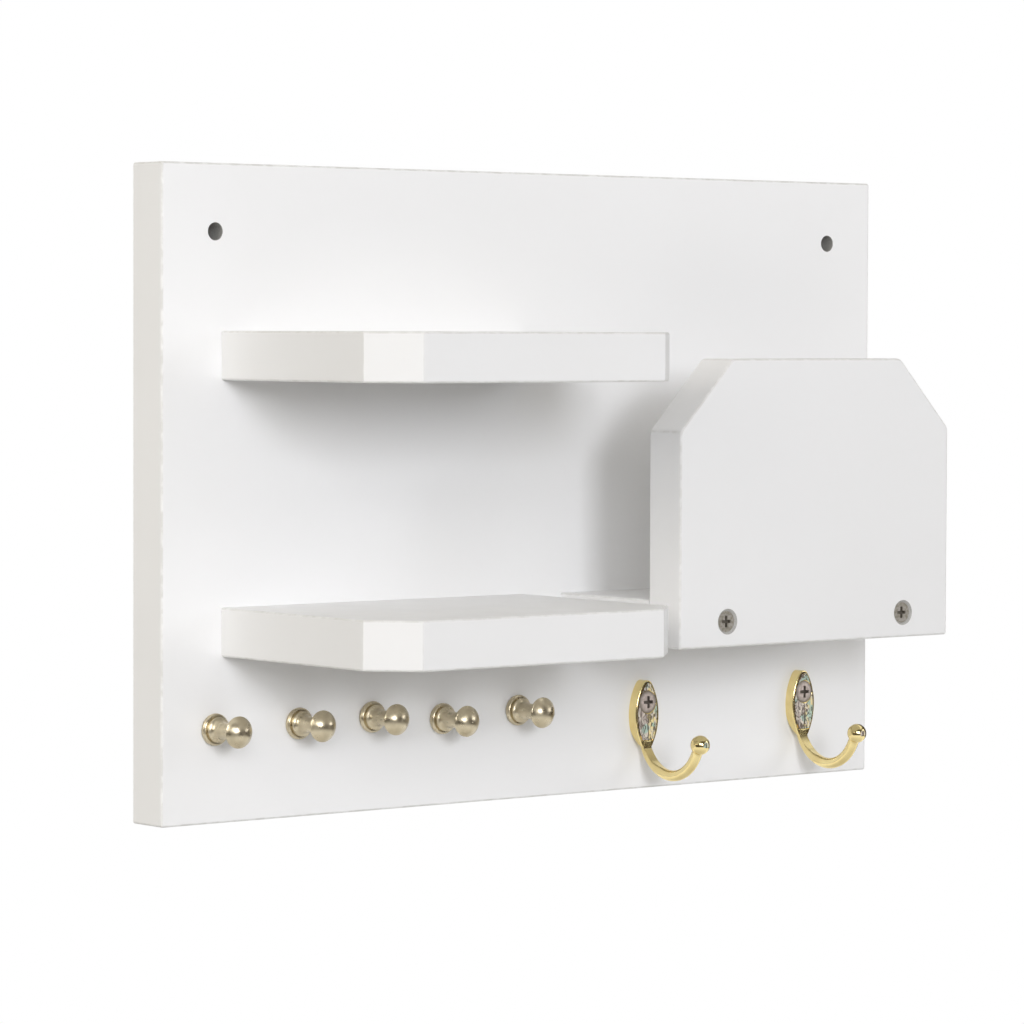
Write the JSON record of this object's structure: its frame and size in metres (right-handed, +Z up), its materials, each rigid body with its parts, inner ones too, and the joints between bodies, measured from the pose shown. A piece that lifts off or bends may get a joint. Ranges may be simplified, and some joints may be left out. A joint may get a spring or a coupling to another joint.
{
  "type": "wall key holder",
  "caption": "White wall board with two shelves, a letter holder with cut corners, turned brass knobs and cast brass hooks for keys.",
  "frame": {"origin": "on the back face of the board, halfway between the two holes for the wall screws", "axes": "+X to the right along the board seen from the front, +Y into the wall, +Z up"},
  "size_m": [0.35, 0.118, 0.24],
  "materials": {
    "white_lacquer": "white satin lacquer on sheet board",
    "satin_brass": "satin, pale brass",
    "polished_brass": "polished, yellow brass",
    "steel": "plain zinc-plated steel"
  },
  "bodies": {
    "root": {"back_board": "white_lacquer", "upper_shelf": "white_lacquer", "lower_shelf": "white_lacquer", "letter_base": "white_lacquer", "letter_front": "white_lacquer", "upper_shelf_screw_left": "steel", "upper_shelf_screw_right": "steel", "lower_shelf_screw_left": "steel", "lower_shelf_screw_right": "steel", "letter_back_screw_left": "steel", "letter_back_screw_right": "steel", "letter_front_screw_left": "steel", "letter_front_screw_right": "steel", "knob_1": "satin_brass", "knob_2": "satin_brass", "knob_3": "satin_brass", "knob_4": "satin_brass", "knob_5": "satin_brass", "knob_screw_1": "steel", "knob_screw_2": "steel", "knob_screw_3": "steel", "knob_screw_4": "steel", "knob_screw_5": "steel", "hook_left": "polished_brass", "hook_right": "polished_brass", "hook_screw_left": "steel", "hook_screw_right": "steel"}
  },
  "joints": []
}
